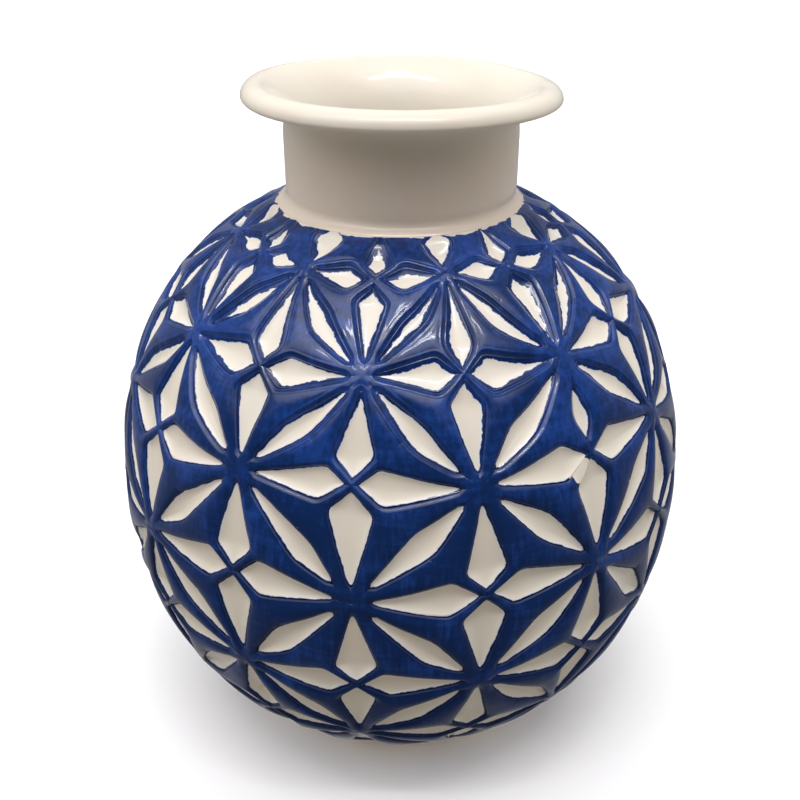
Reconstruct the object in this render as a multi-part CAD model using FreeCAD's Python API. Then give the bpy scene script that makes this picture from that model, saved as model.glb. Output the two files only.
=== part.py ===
"""A glazed pottery vase: a globular body on a low foot ring, with a short round neck and a wide rolled lip.

The body is covered with raised cobalt lands. Between them lie sunk white petals, in rows of eight-petalled
flowers. A flower has four kite petals, which meet three others at a crossing, and four leaf petals, each shared
with a flower of the next row.

Frame: the origin is the centre of the foot's resting face, +Z runs up the axis and the neck is on top.
Lengths are in millimetres and angles in degrees.
"""
import FreeCAD
import Part
import math
import os

# Body
BELLY_RADIUS = 70.0        # over the cobalt lands, at the widest place
SHOULDER_RISE = 74.0       # half height of the body's oval above the widest place
BELLY_DROP = 72.2          # half height of the body's oval below the widest place
FULLNESS = 0.028           # how much fuller than an oval the shoulder and the lower belly are, as a share
WALL = 4.2                 # clay wall of the body
FLOOR = 6.0                # clay under the water
FOOT_RADIUS = 34.0         # outside of the foot ring
FOOT_WIDTH = 5.5           # foot ring, from its outside to its inside
FOOT_HEIGHT = 2.3          # hollow under the floor
FOOT_ROUNDING = 0.9        # rounded bottom edges of the foot ring

# Neck and lip
NECK_RADIUS = 26.0         # outside, over the glaze
NECK_WALL = 4.0            # clay and both glazes together
COLLAR_RADIUS = 28.0       # edge of the collar at the foot of the neck
COLLAR_EDGE = 0.5          # height of that edge
NECK_HEIGHT = 18.6         # from the body to where the lip begins to flare
LIP_RADIUS = 35.7          # outside of the lip
LIP_EDGE_RADIUS = 2.05     # round of the lip's edge
LIP_RISE = 5.4             # from where the flare begins to the middle of the lip's edge
LIP_FILLET = 2.4           # hollow under the lip
CREST_RADIUS = 31.0        # where the lip is highest
THROAT_ROUND = 7.0         # round from the throat wall into the lip's dish

# Glaze and relief
WHITE_GLAZE = 0.35         # thickness of the white glaze
LAND_HEIGHT = 1.5          # cobalt lands above the clay under the petals
LANDS_START = 1.6          # plain band between the foot ring and the lands, measured up the axis

# Pattern
FLOWERS = 8                # flowers in a row, round the body
TURN = -8.1                # direction of the first crossing, from -Y towards +X
ROW_LATITUDES = (68.6, 58.5, 41.0, 24.0, 5.0, -14.0, -31.5, -49.0, -59.0)  # the first and last are hidden rows
HUB = 0.145                # plain centre of a flower, as a share of the cell, as are the next six
KITE_SHOULDER = 0.75       # where a kite is widest, from its flower to the crossing
KITE_HALF_WIDTH = 0.168
KITE_END = 0.95
LEAF_HALF_WIDTH = 0.10
TIP_HALF_WIDTH = 0.018
DROP_START = 0.24          # where the short petals under the collar and over the foot begin
MARGIN = 1.5               # how far a cutting tool runs past what it cuts

Vector = FreeCAD.Vector
UP = Vector(0, 0, 1)


def oval(latitude, depth=0.0):
    """Radius and height, from the widest place, of a point at a depth under the surface of the lands."""
    def surface(degrees):
        t = math.radians(degrees)
        fuller = 1 + FULLNESS * math.sin(2 * t) ** 2
        rise = SHOULDER_RISE if t > 0 else BELLY_DROP
        return BELLY_RADIUS * math.cos(t) * fuller, rise * math.sin(t) * fuller

    step = 0.01
    (r0, z0), (r1, z1) = surface(latitude - step), surface(latitude + step)
    along = math.hypot(r1 - r0, z1 - z0)
    normal = (z1 - z0) / along, (r0 - r1) / along
    r, z = surface(latitude)
    return r - depth * normal[0], z - depth * normal[1]


def latitude_where(measure, target, low, high):
    """The latitude between low and high where measure(latitude), which only rises or only falls, is target."""
    rising = measure(high) > measure(low)
    for _ in range(60):
        middle = (low + high) / 2
        if (measure(middle) < target) == rising:
            low = middle
        else:
            high = middle
    return (low + high) / 2


BODY_BOTTOM = oval(latitude_where(lambda t: oval(t)[0], FOOT_RADIUS, -89, -20))[1]
BELLY_HEIGHT = FOOT_HEIGHT - BODY_BOTTOM
SEAT_HEIGHT = BELLY_HEIGHT + oval(latitude_where(lambda t: oval(t)[0], COLLAR_RADIUS, 20, 89))[1]
LANDS_BOTTOM = FOOT_HEIGHT + LANDS_START
FLARE_HEIGHT = SEAT_HEIGHT + NECK_HEIGHT
THROAT_RADIUS = NECK_RADIUS - NECK_WALL
CENTRE = Vector(0, 0, BELLY_HEIGHT)


def point(r, z):
    return Vector(r, 0, z)


def globe_curve(depth, bottom, top, count=15):
    """The body's outline at a depth, between two heights above the foot, and its two end points."""
    def height(latitude):
        return BELLY_HEIGHT + oval(latitude, depth)[1]

    low = latitude_where(height, bottom, -89, 0)
    high = latitude_where(height, top, 0, 89)
    points = []
    for i in range(count):
        r, z = oval(low + (high - low) * i / (count - 1), depth)
        points.append(point(r, BELLY_HEIGHT + z))
    curve = Part.BSplineCurve()
    curve.interpolate(points)
    return curve.toShape(), points[0], points[-1]


def turned(edges):
    """The solid made by turning a closed outline round the axis."""
    face = Part.Face(Part.Wire(Part.__sortEdges__(edges)))
    solid = face.revolve(Vector(0, 0, 0), UP, 360)
    return solid if solid.Volume > 0 else solid.reversed()


def line(a, b):
    return Part.makeLine(a, b)


def arc(a, middle, b):
    return Part.Arc(a, middle, b).toShape()


def arc_about(centre, radius, start, end):
    """An arc in the outline's plane, between two directions, and its two end points."""
    def at(degrees):
        t = math.radians(degrees)
        return centre + Vector(math.cos(t), 0, math.sin(t)) * radius

    return arc(at(start), at((start + end) / 2), at(end)), at(start), at(end)


def globe_shell(outer_depth, inner_depth, bottom, top):
    """The part of the body between two depths and two heights, open at both ends."""
    outer, outer_low, outer_high = globe_curve(outer_depth, bottom, top)
    inner, inner_low, inner_high = globe_curve(inner_depth, bottom, top)
    return turned([outer, line(outer_high, inner_high), inner, line(inner_low, outer_low)])


def globe_cavity(depth, floor_height, top_height):
    """The hollow of the body at a depth, closed by a floor and by the plane under the neck."""
    side, low, high = globe_curve(depth, floor_height, top_height)
    return turned([side, line(high, point(0, high.z)), line(point(0, high.z), point(0, low.z)),
                   line(point(0, low.z), low)])


def globe_wall():
    """The clay body, with its floor. The neck stands on its flat top."""
    outer, low, high = globe_curve(LAND_HEIGHT, FOOT_HEIGHT, SEAT_HEIGHT)
    whole = turned([outer, line(high, point(0, high.z)), line(point(0, high.z), point(0, low.z)),
                    line(point(0, low.z), low)])
    hollow = globe_cavity(LAND_HEIGHT + WALL, FOOT_HEIGHT + FLOOR, SEAT_HEIGHT - WALL)
    mouth = Part.makeCylinder(THROAT_RADIUS + WHITE_GLAZE, 2 * WALL, point(0, SEAT_HEIGHT - 1.5 * WALL), UP)
    return whole.cut(hollow.fuse(mouth))


def foot_ring():
    """The bare clay ring that the vase stands on, with its bottom edges rounded."""
    inside, k = FOOT_RADIUS - FOOT_WIDTH, FOOT_ROUNDING
    outer_round, o0, o1 = arc_about(point(FOOT_RADIUS - k - LAND_HEIGHT, k), k, 0, -90)
    inner_round, i0, i1 = arc_about(point(inside + k, k), k, -90, -180)
    top_out, top_in = point(o0.x, FOOT_HEIGHT), point(inside, FOOT_HEIGHT)
    return turned([line(top_out, o0), outer_round, line(o1, i0), inner_round, line(i1, top_in),
                   line(top_in, top_out)])


def neck_outline(inset):
    """The outside of the neck from its flat seat up, as edges and the two end points, at a depth in the glaze."""
    r, k = NECK_RADIUS - inset, COLLAR_RADIUS - NECK_RADIUS
    seat = point(COLLAR_RADIUS - inset, SEAT_HEIGHT)
    hollow, h0, h1 = arc_about(point(NECK_RADIUS + k, SEAT_HEIGHT + COLLAR_EDGE + k), k + inset, -180, -100)
    top = point(r, FLARE_HEIGHT)
    return [line(seat, h1), hollow, line(h0, top)], seat, top


def lip_outline(inset):
    """The lip from the neck's outside, round its edge and down to the throat, as edges and the two end points."""
    edge = point(LIP_RADIUS - LIP_EDGE_RADIUS, FLARE_HEIGHT + LIP_RISE)
    k, e = LIP_FILLET, LIP_EDGE_RADIUS - inset
    under, u0, u1 = arc_about(point(NECK_RADIUS + k, FLARE_HEIGHT + 0.6), k + inset, 180, 100)
    rim, r0, r1 = arc_about(edge, e, -70, 85)
    crest = point(CREST_RADIUS, edge.z + e + 0.1)
    throat = point(THROAT_RADIUS + inset, FLARE_HEIGHT)
    dish = Part.BezierCurve()
    dish.setPoles([crest, point(CREST_RADIUS - 3.2, crest.z), point(throat.x, throat.z + THROAT_ROUND), throat])
    start = point(u0.x, FLARE_HEIGHT)
    return [line(start, u0), under, line(u1, r0), rim, line(r1, crest), dish.toShape()], start, throat


def neck_solid(inset):
    """The neck up to the flare, as far in as the throat glaze, at a depth in the outer glaze."""
    edges, seat, top = neck_outline(inset)
    inner_low, inner_high = point(THROAT_RADIUS + inset, SEAT_HEIGHT), point(THROAT_RADIUS + inset, FLARE_HEIGHT)
    return turned(edges + [line(top, inner_high), line(inner_high, inner_low), line(inner_low, seat)])


def lip_solid(inset):
    edges, start, throat = lip_outline(inset)
    return turned(edges + [line(throat, start)])


def coats():
    """The two white coats: over the outside of the neck and lip, and down the inside to the floor."""
    skin = neck_solid(0.0).fuse(lip_solid(0.0))
    clay = neck_solid(WHITE_GLAZE).fuse(lip_solid(WHITE_GLAZE))
    coat = skin.cut(clay)
    tall = LIP_RISE + LIP_EDGE_RADIUS + MARGIN
    inside = Part.makeCylinder(NECK_RADIUS - NECK_WALL / 2, NECK_HEIGHT + tall, point(0, SEAT_HEIGHT), UP)
    dish = Part.makeCylinder(CREST_RADIUS, tall, point(0, FLARE_HEIGHT + LIP_RISE - LIP_EDGE_RADIUS / 2), UP)
    within = inside.fuse(dish)
    outer, inner = coat.cut(within), coat.common(within)
    cavity = globe_cavity(LAND_HEIGHT + WALL, FOOT_HEIGHT + FLOOR, SEAT_HEIGHT - WALL)
    water = globe_cavity(LAND_HEIGHT + WALL + WHITE_GLAZE, FOOT_HEIGHT + FLOOR + WHITE_GLAZE,
                         SEAT_HEIGHT - WALL - WHITE_GLAZE)
    mouth_low = point(0, SEAT_HEIGHT - 1.5 * WALL)
    mouth = Part.makeCylinder(THROAT_RADIUS + WHITE_GLAZE, 1.5 * WALL, mouth_low, UP)
    opening = Part.makeCylinder(THROAT_RADIUS, 3 * WALL, mouth_low - UP * WALL, UP)
    lining = cavity.fuse(mouth).cut(water.fuse(opening)).fuse(inner)
    return outer, lining.removeSplitter()


def latitude_of(row):
    """The latitude of a place in the pattern. Row 0 is the hidden one under the collar."""
    below = min(max(int(math.floor(row)), 0), len(ROW_LATITUDES) - 2)
    share = row - below
    return ROW_LATITUDES[below] * (1 - share) + ROW_LATITUDES[below + 1] * share


def on_body(column, row):
    """The point of the lands' surface at a place in the pattern. A column is half of a flower's width."""
    r, z = oval(latitude_of(row))
    turn = math.radians(TURN + column * 180.0 / FLOWERS)
    return Vector(r * math.sin(turn), -r * math.cos(turn), BELLY_HEIGHT + z)


def kite_outline(column, row, across, down, start=HUB):
    """A kite petal, from a flower towards the crossing at (column + across, row + down)."""
    def place(along, aside):
        return column + across * along + down * aside, row + down * along - across * aside

    return [place(start, -TIP_HALF_WIDTH), place(KITE_SHOULDER, -KITE_HALF_WIDTH), place(KITE_END, 0),
            place(KITE_SHOULDER, KITE_HALF_WIDTH), place(start, TIP_HALF_WIDTH)]


def leaf_outline(column, row, across):
    """A leaf petal, from a flower to the one at (column + across, row + 1)."""
    def place(along, aside):
        return column + across * (along + aside), row + along - aside

    return [place(HUB, -TIP_HALF_WIDTH), place(0.5, -LEAF_HALF_WIDTH), place(1 - HUB, -TIP_HALF_WIDTH),
            place(1 - HUB, TIP_HALF_WIDTH), place(0.5, LEAF_HALF_WIDTH), place(HUB, TIP_HALF_WIDTH)]


def petal_tool(outline):
    """A wedge with flat sides that cuts one petal out of the body's surface, pointing at the body's centre."""
    corners = [on_body(*place) - CENTRE for place in outline]
    axis = Vector(0, 0, 0)
    for corner in corners:
        axis = axis + corner
    axis.normalize()
    middle = max(corner.Length for corner in corners)
    nearest = min(corner.dot(axis) for corner in corners) - LAND_HEIGHT - WHITE_GLAZE - MARGIN

    def polygon(height):
        return [CENTRE + corner * (height / corner.dot(axis)) for corner in corners]

    inner, outer = polygon(nearest), polygon(middle + MARGIN)
    faces = [Part.Face(Part.makePolygon(inner + inner[:1])), Part.Face(Part.makePolygon(outer + outer[:1]))]
    count = len(corners)
    for i in range(count):
        j = (i + 1) % count
        faces.append(Part.Face(Part.makePolygon([inner[i], inner[j], outer[j], outer[i], inner[i]])))
    solid = Part.Solid(Part.Shell(faces))
    return solid if solid.Volume > 0 else solid.reversed()


def round_the_body(shape):
    """Eight copies of a shape, or as many as a row has flowers."""
    copies = []
    for i in range(FLOWERS):
        copy = shape.copy()
        copy.rotate(Vector(0, 0, 0), UP, i * 360.0 / FLOWERS)
        copies.append(copy)
    return copies


def petal_outlines():
    """Node name to the outlines of the petals that are repeated round the body."""
    last = len(ROW_LATITUDES) - 1
    rows = {}
    for row in range(1, last):
        column = row % 2
        kites = [kite_outline(column, row, across, down) for across, down in ((1, 0), (-1, 0), (0, 1), (0, -1))]
        rows["kite_petals_row_%d" % row] = kites
        if row < last - 1:
            rows["leaf_petals_row_%d" % row] = [leaf_outline(column, row, 1), leaf_outline(column, row, -1)]
    rows["collar_drops"] = [kite_outline(0, 0, 0, 1, DROP_START)]
    rows["foot_drops"] = [kite_outline(last % 2, last, 0, -1, DROP_START)]
    return rows


def pattern():
    """The cobalt lands with a window for each petal, and the white glaze that lies in the windows."""
    inlay = globe_shell(LAND_HEIGHT - WHITE_GLAZE, LAND_HEIGHT, LANDS_BOTTOM, SEAT_HEIGHT)
    nodes, tools = {}, []
    for name, outlines in petal_outlines().items():
        petals = []
        for outline in outlines:
            tool = petal_tool(outline)
            tools += round_the_body(tool)
            petals += round_the_body(tool.common(inlay))
        nodes[name] = Part.makeCompound(petals)
    lands = globe_shell(0.0, LAND_HEIGHT, LANDS_BOTTOM, SEAT_HEIGHT)
    nodes["cobalt_lands"] = lands.cut(tools)
    return nodes


def main():
    os.makedirs("parts", exist_ok=True)
    neck_glaze, lining_glaze = coats()
    nodes = {
        "foot_ring": foot_ring(),
        "globe_wall": globe_wall(),
        "neck_collar": neck_solid(WHITE_GLAZE),
        "rolled_lip": lip_solid(WHITE_GLAZE),
        "neck_glaze": neck_glaze,
        "lining_glaze": lining_glaze,
    }
    nodes.update(pattern())
    for name, shape in nodes.items():
        solids = shape.Solids
        ok = all(s.isValid() and s.Volume > 0 for s in solids)
        print("%-20s solids %3d  volume %10.1f mm3  valid %s" % (name, len(solids), shape.Volume, ok))
        shape.exportStep("parts/%s.step" % name)


main()
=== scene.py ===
"""Finishes the glazed pottery vase around its packed CAD frame.

Only the clay foot ring keeps its CAD mesh. Everything else is a new piece: the clay, the cobalt lands, the
white petals sunk between them, the neck and lip, and the lining. Lengths are in metres unless a name says
otherwise. A place in the pattern is a (column, row) pair: a column is half of a flower's width and a row is
one row of flowers.
"""

import math

import bpy
import numpy as np
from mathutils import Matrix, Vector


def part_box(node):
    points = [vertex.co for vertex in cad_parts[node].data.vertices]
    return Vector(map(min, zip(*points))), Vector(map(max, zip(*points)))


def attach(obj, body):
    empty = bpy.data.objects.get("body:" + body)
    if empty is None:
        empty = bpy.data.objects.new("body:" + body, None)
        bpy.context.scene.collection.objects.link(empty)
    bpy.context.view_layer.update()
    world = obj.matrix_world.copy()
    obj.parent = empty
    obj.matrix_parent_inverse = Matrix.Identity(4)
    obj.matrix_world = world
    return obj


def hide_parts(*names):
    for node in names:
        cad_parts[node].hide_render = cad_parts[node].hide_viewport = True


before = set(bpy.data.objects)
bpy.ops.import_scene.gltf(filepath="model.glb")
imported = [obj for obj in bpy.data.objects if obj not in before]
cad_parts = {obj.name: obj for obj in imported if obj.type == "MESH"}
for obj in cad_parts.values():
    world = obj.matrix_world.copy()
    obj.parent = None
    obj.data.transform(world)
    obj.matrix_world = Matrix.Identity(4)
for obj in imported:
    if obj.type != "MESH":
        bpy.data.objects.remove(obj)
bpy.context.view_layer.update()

bl_info = {
    "name": "Glazed Vase",
    "version": (1, 0, 0),
    "blender": (4, 5, 0),
    "location": "View3D > Sidebar > Vase",
    "description": "A carved and glazed pottery vase around its CAD frame",
    "category": "Add Mesh",
}

MM = 0.001
LANDS_LOW, LANDS_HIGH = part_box("cobalt_lands")
NECK_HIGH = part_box("neck_glaze")[1]

# the lattice: flowers in a row, the rows' latitudes in degrees, and the directions of a flower's kites
FLOWERS = 8
COLUMNS = 2 * FLOWERS
ROW_LATITUDES = np.array((68.6, 58.5, 41.0, 24.0, 5.0, -14.0, -31.5, -49.0, -59.0))
LAST_ROW = len(ROW_LATITUDES) - 1
EAST, WEST, DOWN, UP = range(4)

# how many steps the grids have along and across each shape
KITE_NEAR, KITE_FAR, KITE_ACROSS = 14, 8, 6
LEAF_ALONG, LEAF_ACROSS = 10, 6
LAND_HUB, LAND_END, LAND_ACROSS = 3, 1, 12
GLAZE_AROUND, GLOBE_AROUND, CLAY_AROUND = 192, 160, 128

# how uneven the hand is, as shares of a column or row, and of a petal's own width for the widths
WANDER = 0.03
KITE_WIDTHS, KITE_SHOULDERS, KITE_STARTS = 0.10, 0.035, 0.018
LEAF_WIDTHS, LEAF_CORNERS = 0.12, 0.13

# how crisp a petal's corners are, and how wide a kite still is at its crossing end, as a share of its width
CRISP, SOFT, ROUND = 9.0, 5.0, 3.0
FAR_TIP = 0.04

# how far from a petal's edge the distances to its neighbours still round the lands
SOFTENING = 0.35 * MM

# where the blade went through a land between two petals: column, row and reach
SLIPS = ((1.88, 3.12, 2.6 * MM),)

# gap between clay and glaze, the round from the throat into the body, and the glazes' optics and waves
CLEARANCE = 0.1 * MM
THROAT_TURN = 1.6 * MM
GLAZE_IOR = 1.5
GLAZE_WAVES = 0.16
WHITE = (1.0, 1.0, 1.0)


# ---------------------------------------------------------------- settings

# each makes one setting from its name, its description and its default

def a_number(name, description, default, **more):
    return bpy.props.FloatProperty(name=name, description=description, default=default, **more)


def a_length(name, description, metres):
    return a_number(name, description, metres, unit="LENGTH")


def an_angle(name, description, degrees):
    return a_number(name, description, math.radians(degrees), subtype="ANGLE")


def a_colour(name, description, rgb):
    return bpy.props.FloatVectorProperty(name=name, description=description, default=rgb, subtype="COLOR")


class VaseBody(bpy.types.PropertyGroup):
    """Sizes of the turned body, neck and lip."""
    belly_radius: a_length("Belly radius", "Radius over the lands at the widest place",
                           (LANDS_HIGH.x - LANDS_LOW.x) / 2)
    belly_height: a_length("Belly height", "Height of the widest place above the table", 0.067)
    shoulder_rise: a_length("Shoulder rise", "Half height of the body's oval above the belly", 0.074)
    belly_drop: a_length("Belly drop", "Half height of the body's oval below the belly", 0.0722)
    fullness: a_number("Fullness", "How much fuller than an oval the shoulder is", 0.028)
    seat: a_length("Neck seat", "Height where the neck meets the body", LANDS_HIGH.z)
    collar_radius: a_length("Collar radius", "Edge of the collar at the foot of the neck", 0.028)
    neck_radius: a_length("Neck radius", "Outside of the neck", 0.026)
    throat_radius: a_length("Throat radius", "Inside of the neck", 0.022)
    lip_radius: a_length("Lip radius", "Outside of the lip", NECK_HIGH.x)
    lip_top: a_length("Lip top", "Height of the lip's crest", NECK_HIGH.z)
    lip_edge_radius: a_length("Lip edge", "Round under the lip's edge", 0.00095)
    lip_slope: a_length("Lip slope", "From the lip's crest down to its widest place", 0.0027)
    throat_depth: a_length("Throat depth", "From the lip's crest to where the throat is upright", 0.014)
    crest_radius: a_length("Crest radius", "Where the lip turns down to the throat", 0.0321)
    glaze: a_length("Glaze", "Thickness of the white glaze", 0.00035)
    lining_depth: a_length("Lining depth", "From the lands' surface to the inside", 0.00605)
    foot_height: a_length("Foot height", "Hollow under the floor", 0.0023)
    floor_height: a_length("Floor height", "Inside floor above the table", 0.00865)


class VasePattern(bpy.types.PropertyGroup):
    """Where the petals lie and how they are cut. Shares are of one column or one row."""
    turn: an_angle("Turn", "Direction of the first crossing from the front", -8.1)
    hub: a_number("Hub", "Plain centre of a flower", 0.135)
    kite_shoulder: a_number("Kite shoulder", "Where a kite petal is widest", 0.75)
    kite_half_width: a_number("Kite half width", "Half width of a kite petal", 0.178)
    kite_end: a_number("Kite end", "Where a kite petal ends", 0.95)
    leaf_half_width: a_number("Leaf half width", "Half width of a leaf petal", 0.088)
    tip_half_width: a_number("Tip half width", "Half width of a petal's blunt tip", 0.018)
    drop_start: a_number("Drop start", "Where the short petals at the collar begin", 0.13)
    hand: a_number("Hand", "How uneven the hand cutting is", 1.0, min=0.0, max=2.0)
    seed: bpy.props.IntProperty(name="Seed", description="Which uneven vase this is", default=11)


class VaseRelief(bpy.types.PropertyGroup):
    """How deep the carving is."""
    land_height: a_length("Land height", "From the top of the lands to the clay in the plain bands", 0.0015)
    cut_depth: a_length("Cut depth", "From the top of the lands to the clay under the petals", 0.0025)
    edge_depth: a_length("Edge depth", "Depth of a petal's edge under the lands", 0.00045)
    edge_round: a_length("Edge round", "How far the lands' rounded edge reaches", 0.0004)
    pillow: a_length("Pillow", "How much the lands swell between their edges", 0.0004)
    pillow_reach: a_length("Pillow reach", "Distance from an edge where the swelling levels out", 0.0042)
    scoop: a_number("Scoop", "Steepness of a petal's hollow", 0.54)


class VaseColours(bpy.types.PropertyGroup):
    """Colours of the glazes and the clay."""
    white: a_colour("White", "Tin white glaze", (0.77, 0.72, 0.615))
    # the cream also paints the shade on the neck's outside below the lip
    cream: a_colour("Cream", "White glaze where it is thin over the clay", (0.80, 0.67, 0.55))
    # this pale blue is part blue bled into the white and part a painted highlight along the petal edges
    blue_bleed_and_highlight: a_colour("Halo", "White glaze that took on some blue beside a painted edge", (0.60, 0.68, 0.92))
    cobalt: a_colour("Cobalt", "Cobalt where the brush left it even", (0.004, 0.021, 0.096))
    # the light cobalt also paints the shoulder lighter, as painted light
    cobalt_light: a_colour("Light cobalt", "Cobalt where the brush left it thin", (0.012, 0.052, 0.25))
    # navy is part pooled cobalt and part painted shade along the carved edges
    navy: a_colour("Navy", "Cobalt where it pooled", (0.003, 0.008, 0.040))
    clay: a_colour("Clay", "Bare fired clay", (0.52, 0.30, 0.17))


class VaseStage(bpy.types.PropertyGroup):
    """Camera and light."""
    camera_place: bpy.props.FloatVectorProperty(
        name="Camera", description="Where the camera stands", default=(0.0, -0.2316, 0.2083),
        subtype="TRANSLATION")
    camera_tilt: an_angle("Camera tilt", "Up from straight down", 61.48)
    lens: a_number("Lens", "Focal length in millimetres", 46.45)
    floor: a_colour("Floor", "Colour of the floor", (0.86, 0.86, 0.86))
    patch: a_number("Patch", "Brightness of the soft light over the vase", 2.8)
    patch_lean: an_angle("Patch lean", "From straight up to the soft light's middle, towards the front", 19)
    bounce: a_number("Bounce", "Power of the soft light from below in watts", 5.1)


SETTINGS = {"vase_body": VaseBody, "vase_pattern": VasePattern, "vase_relief": VaseRelief,
            "vase_colours": VaseColours, "vase_stage": VaseStage}


def setting(group):
    """The scene's settings of one group."""
    return getattr(bpy.context.scene, "vase_" + group)


# ---------------------------------------------------------------- surfaces

def smooth_step(x, low, high):
    """0 below low, 1 above high, and 3s^2 - 2s^3 between them, where s is the share of the way."""
    s = np.clip((x - low) / (high - low), 0.0, 1.0)
    return s * s * (3 - 2 * s)


def oval(latitude, depth):
    """Radius and height of the body at a latitude in radians, a depth under the lands.

    r = R cos(t) k and z = b sin(t) k, with k = 1 + fullness sin(2t)^2. The depth is taken along the normal,
    (dz/dt, -dr/dt) over its length.
    """
    body = setting("body")
    b = np.where(latitude > 0, body.shoulder_rise, body.belly_drop)
    sine, cosine = np.sin(latitude), np.cos(latitude)
    k = 1 + body.fullness * np.sin(2 * latitude) ** 2
    dk = 2 * body.fullness * np.sin(4 * latitude)
    dr = body.belly_radius * (cosine * dk - sine * k)
    dz = b * (sine * dk + cosine * k)
    length = np.hypot(dr, dz)
    r = body.belly_radius * cosine * k - depth * dz / length
    z = body.belly_height + b * sine * k + depth * dr / length
    return r, z


def wavy(column, row, seed):
    """A smooth field of about -1 to 1 that repeats once round the body: a sum of sines of whole turns."""
    draw = np.random.default_rng(seed)
    angle = column * math.pi / FLOWERS
    total = 0.0
    for turns in (2, 3, 5, 6, 7):
        total = total + np.sin(turns * angle + draw.uniform(0.7, 2.2) * row + draw.uniform(0, math.tau))
    return total / 2.6


def on_body(column, row, depth):
    """Points of the body at places in the pattern: the lattice, pushed about a little as a hand would."""
    pattern = setting("pattern")
    off_column = column + WANDER * pattern.hand * wavy(column, row, pattern.seed)
    off_row = row + WANDER * pattern.hand * wavy(column, row, pattern.seed + 1) * np.clip(row, 0, 1)
    latitude = np.radians(np.interp(off_row, np.arange(LAST_ROW + 1), ROW_LATITUDES))
    r, z = oval(latitude, depth)
    turn = pattern.turn + off_column * math.pi / FLOWERS
    return np.stack((r * np.sin(turn), -r * np.cos(turn), z), -1)


def relief_strength(row):
    """Carving fades out under the collar: 0 at the neck's foot, 1 a few millimetres down the shoulder."""
    return smooth_step(row, 0.2, 0.62)


def round_cap(x):
    """Half width of a blunt round end at x from it: sqrt(0.04 x) + 2 x."""
    x = np.maximum(x, 0)
    return np.sqrt(0.04 * x) + 2 * x


def rounded_least(power, *curves):
    """The inverse power mean of curves: the lowest one rules, and a lower power rounds the corners more."""
    curves = np.stack(np.broadcast_arrays(*curves))
    return np.sum(np.maximum(curves, 1e-9) ** -power, 0) ** (-1 / power)


def petal_half_width(x, start, shoulder, end, width, tip, power):
    """Half width of a petal at x along it.

    The rounded least of a line that widens from the blunt tip to the shoulder, one that narrows from there
    to the end, and a round cap at each end.
    """
    rise = tip + (width - tip) * (x - start) / (shoulder - start)
    fall = FAR_TIP * width + (1 - FAR_TIP) * width * (end - x) / (end - shoulder)
    return rounded_least(power, rise, fall, round_cap(x - start), round_cap(end - x))


def leaf_half_width(x, hub, corner, width, tip):
    """Half width of a leaf petal: as petal_half_width, with a blunt tip at both ends."""
    rise = tip + (width - tip) * (x - hub) / (corner - hub)
    fall = tip + (width - tip) * (1 - hub - x) / (1 - hub - corner)
    return rounded_least(CRISP, rise, fall, round_cap(x - hub), round_cap(1 - hub - x))


class Cutting:
    """The hand-cut sizes of every petal, drawn once from the seed.

    Kites are indexed by their flower's row and column, direction and side, and leaves by the row and column
    of the cell they cross and by side. Side 0 of a leaf faces the crossing in the cell's upper row.
    """

    def __init__(self):
        pattern = setting("pattern")
        draw = np.random.default_rng(pattern.seed + 2)
        hand = pattern.hand
        kites = (LAST_ROW + 1, COLUMNS, 4, 2)
        leaves = (LAST_ROW, COLUMNS, 2)
        self.kite_width = pattern.kite_half_width * (1 + KITE_WIDTHS * hand * draw.uniform(-1, 1, kites))
        self.kite_shoulder = pattern.kite_shoulder + KITE_SHOULDERS * hand * draw.uniform(-1, 1, kites)
        self.kite_start = pattern.hub + KITE_STARTS * hand * draw.uniform(-1, 1, kites[:3])
        self.kite_end = np.full(kites[:3], pattern.kite_end)
        self.kite_power = np.full(kites[:3], CRISP)
        self.leaf_width = pattern.leaf_half_width * (1 + LEAF_WIDTHS * hand * draw.uniform(-1, 1, leaves))
        self.leaf_corner = 0.5 + LEAF_CORNERS * hand * draw.uniform(-1, 1, leaves)
        self.kite_overlap = draw.uniform(0, 1, kites)
        self.leaf_overlap = draw.uniform(0, 1, leaves)
        self.fit_top_rows()
        self.merge_one_kite()
        self.end_at_the_bands(pattern.drop_start)

    def fit_top_rows(self):
        """The rows on the shoulder are crowded: their kites are blunter, and wide towards the collar."""
        self.kite_power[1] = SOFT
        self.kite_width[1, :, UP] *= 2.05
        self.kite_shoulder[1, :, UP] -= 0.05
        self.kite_width[1, :, :DOWN, 0] *= 1.45
        self.kite_width[1, :, :DOWN, 1] *= 0.82
        self.kite_shoulder[1, :, :DOWN] -= 0.12
        self.kite_end[1, :, :DOWN] = 0.88
        self.kite_width[2, :, UP] *= 1.2
        self.kite_end[2, :, UP] = 0.91
        self.kite_width[0, :, DOWN] *= 1.25

    def merge_one_kite(self):
        """One kite was cut short and round, where the blade slipped into its neighbour."""
        kite = (2, 2, DOWN)
        self.kite_power[kite] = ROUND
        self.kite_width[kite] *= 0.65
        self.kite_start[kite] += 0.2
        self.kite_shoulder[kite] -= 0.12
        self.kite_end[kite] -= 0.08

    def end_at_the_bands(self, drop_start):
        """The first and last rows have only short petals, which point into the pattern."""
        self.kite_start[0, :, DOWN] = drop_start
        self.kite_start[LAST_ROW, :, UP] = drop_start
        for row in (0, LAST_ROW):
            self.kite_width[row, :, EAST] = 0
            self.kite_width[row, :, WEST] = 0
        self.leaf_width[(0, LAST_ROW - 1), :] = 0


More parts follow.
